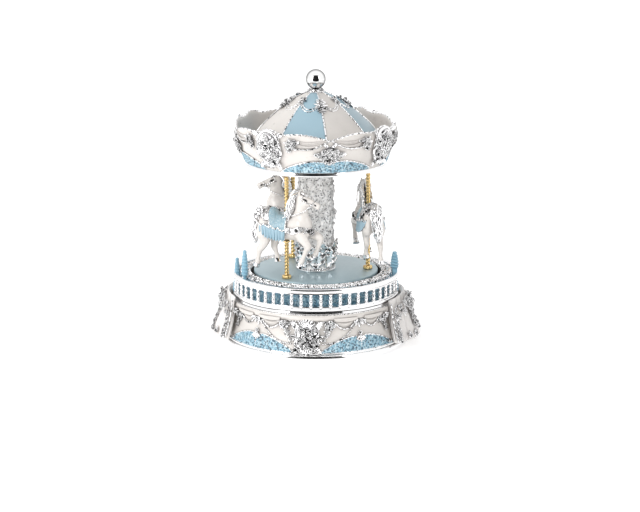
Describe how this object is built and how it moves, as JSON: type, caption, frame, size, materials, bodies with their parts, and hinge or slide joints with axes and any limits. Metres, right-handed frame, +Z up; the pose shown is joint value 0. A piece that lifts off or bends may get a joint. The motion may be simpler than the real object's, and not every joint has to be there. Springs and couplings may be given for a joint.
{
  "type": "wind-up carousel music box",
  "caption": "Wind-up carousel music box: horses on twisted poles and a scalloped canopy turn above a round fenced base that hides the comb movement and its key.",
  "frame": {"origin": "on the centre line, on the surface that the rubber feet stand on", "axes": "+Z up along the carousel's axis of rotation; -Y is the front, with the base's front rose medallion; the scroll buttresses are on the -X and +X sides"},
  "size_m": [0.1526, 0.134, 0.1988],
  "materials": {
    "silver": "polished",
    "gold": "polished",
    "brass": "satin",
    "steel": "satin",
    "pearl_enamel": "gloss",
    "blue_enamel": "gloss",
    "platform_blue": "satin",
    "rubber": "matte",
    "felt": "matte"
  },
  "bodies": {
    "base": {"balustrade_front": "silver", "balustrade_rear": "silver", "base_shell": "silver", "bottom_plate": "felt", "bottom_screw_1": "steel", "bottom_screw_2": "steel", "bottom_screw_3": "steel", "comb_block": "brass", "comb_screw_1": "steel", "comb_screw_2": "steel", "cylinder_bracket": "steel", "cypress_1": "blue_enamel", "cypress_2": "blue_enamel", "cypress_3": "blue_enamel", "cypress_4": "blue_enamel", "cypress_5": "blue_enamel", "drum_housing": "blue_enamel", "front_medallion": "silver", "governor_bracket": "steel", "left_buttress": "silver", "movement_bedplate": "steel", "rear_medallion": "silver", "right_buttress": "silver", "rubber_foot_1": "rubber", "rubber_foot_2": "rubber", "rubber_foot_3": "rubber", "rubber_foot_4": "rubber", "spindle_bush": "brass", "tone_comb": "steel"},
    "carousel": {"barrel_cover": "brass", "ceiling_plate": "silver", "column": "silver", "column_foot": "silver", "crown_medallion_1": "silver", "crown_medallion_2": "silver", "crown_medallion_3": "silver", "crown_medallion_4": "silver", "finial_ball": "silver", "finial_neck": "silver", "horse_1": "pearl_enamel", "horse_2": "pearl_enamel", "horse_3": "pearl_enamel", "mainspring": "steel", "pole_1": "gold", "pole_2": "gold", "pole_3": "gold", "pole_foot_1": "gold", "pole_foot_2": "gold", "pole_foot_3": "gold", "roof": "blue_enamel", "spindle_rod": "steel", "spring_barrel": "brass", "turntable": "platform_blue", "valance": "pearl_enamel"},
    "cylinder": {"pinned_cylinder": "brass", "cylinder_arbor": "steel"},
    "governor_wheel": {"governor_wheel": "brass"},
    "governor_fly": {"governor_fly": "pearl_enamel"},
    "key": {"winding_key": "brass", "winding_arbor": "steel"}
  },
  "joints": [
    {"name": "carousel_spin", "type": "hinge", "parent": "base", "child": "carousel", "pos_m": [0, 0, 0.0465], "axis": [0, 0, 1], "continuous": true},
    {"name": "cylinder_spin", "type": "hinge", "parent": "base", "child": "cylinder", "pos_m": [0.028, 0, 0.01926], "axis": [1, 0, 0], "continuous": true},
    {"name": "governor_wheel_spin", "type": "hinge", "parent": "base", "child": "governor_wheel", "pos_m": [0.041, 0.0076, 0.01926], "axis": [1, 0, 0], "continuous": true},
    {"name": "governor_fly_spin", "type": "hinge", "parent": "base", "child": "governor_fly", "pos_m": [0.043, 0.0131, 0.02], "axis": [0, 0, 1], "continuous": true},
    {"name": "key_turn", "type": "hinge", "parent": "base", "child": "key", "pos_m": [0, 0, 0.0046], "axis": [0, 0, -1], "range_deg": [0, 1620]}
  ],
  "couplings": [
    {"joint": "cylinder_spin", "follows": "carousel_spin", "ratio": 5},
    {"joint": "governor_wheel_spin", "follows": "carousel_spin", "ratio": -18.75},
    {"joint": "governor_fly_spin", "follows": "carousel_spin", "ratio": 93.75}
  ]
}
